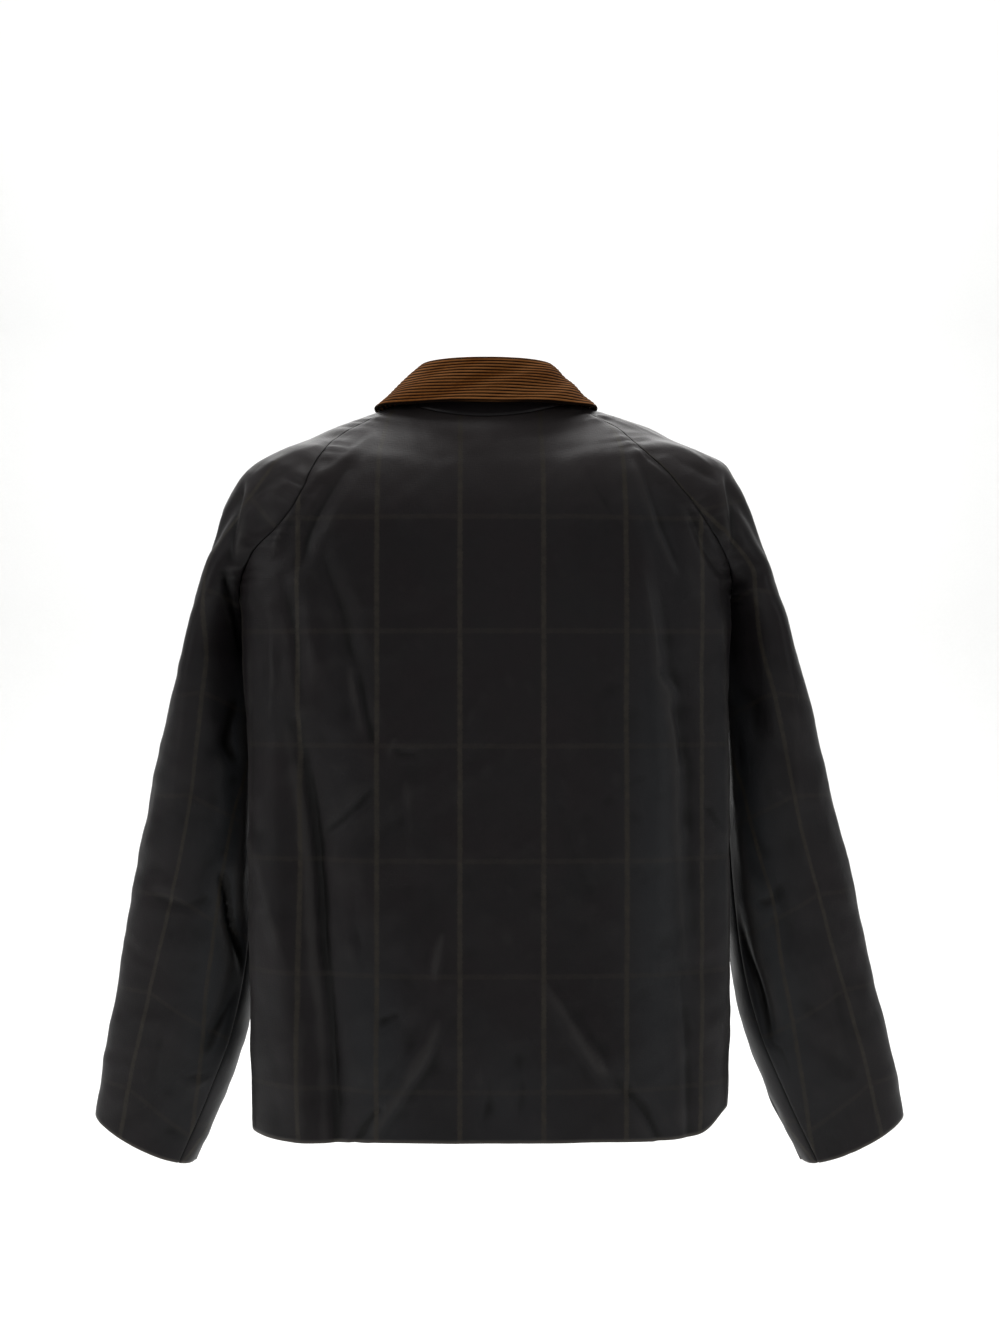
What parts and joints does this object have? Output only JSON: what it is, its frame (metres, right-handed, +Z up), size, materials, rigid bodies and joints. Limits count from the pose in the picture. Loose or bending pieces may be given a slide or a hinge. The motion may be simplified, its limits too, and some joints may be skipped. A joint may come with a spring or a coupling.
{
  "type": "jacket",
  "caption": "Hollow hip-length waxed cotton jacket with raglan sleeves, a spread corduroy collar and a zip down the front.",
  "frame": {"origin": "base of the wearer's neck, level with the shoulders that carry the jacket, on its middle line", "axes": "+Z up, -Y out of the jacket's front, +X to the wearer's left"},
  "size_m": [0.8282, 0.2528, 0.803],
  "materials": {
    "waxed_cotton": "waxed, near black",
    "corduroy_brown": "corduroy pile, brown",
    "zip_tape": "woven tape, black",
    "zip_brass": "satin"
  },
  "bodies": {
    "jacket": {"back": "waxed_cotton", "front_left": "waxed_cotton", "front_right": "waxed_cotton", "sleeve_left": "waxed_cotton", "sleeve_right": "waxed_cotton", "collar_stand": "waxed_cotton", "collar_fall": "corduroy_brown", "zip_tape_left": "zip_tape", "zip_tape_right": "zip_tape", "zip_chain": "zip_brass", "zip_slider": "zip_brass"},
    "pull": {"zip_pull": "zip_brass"}
  },
  "joints": [
    {"name": "pull_hinge", "type": "hinge", "parent": "jacket", "child": "pull", "pos_m": [0.004, -0.11195, -0.0855], "axis": [-1, 0, 0], "range_deg": [0, 165]}
  ]
}
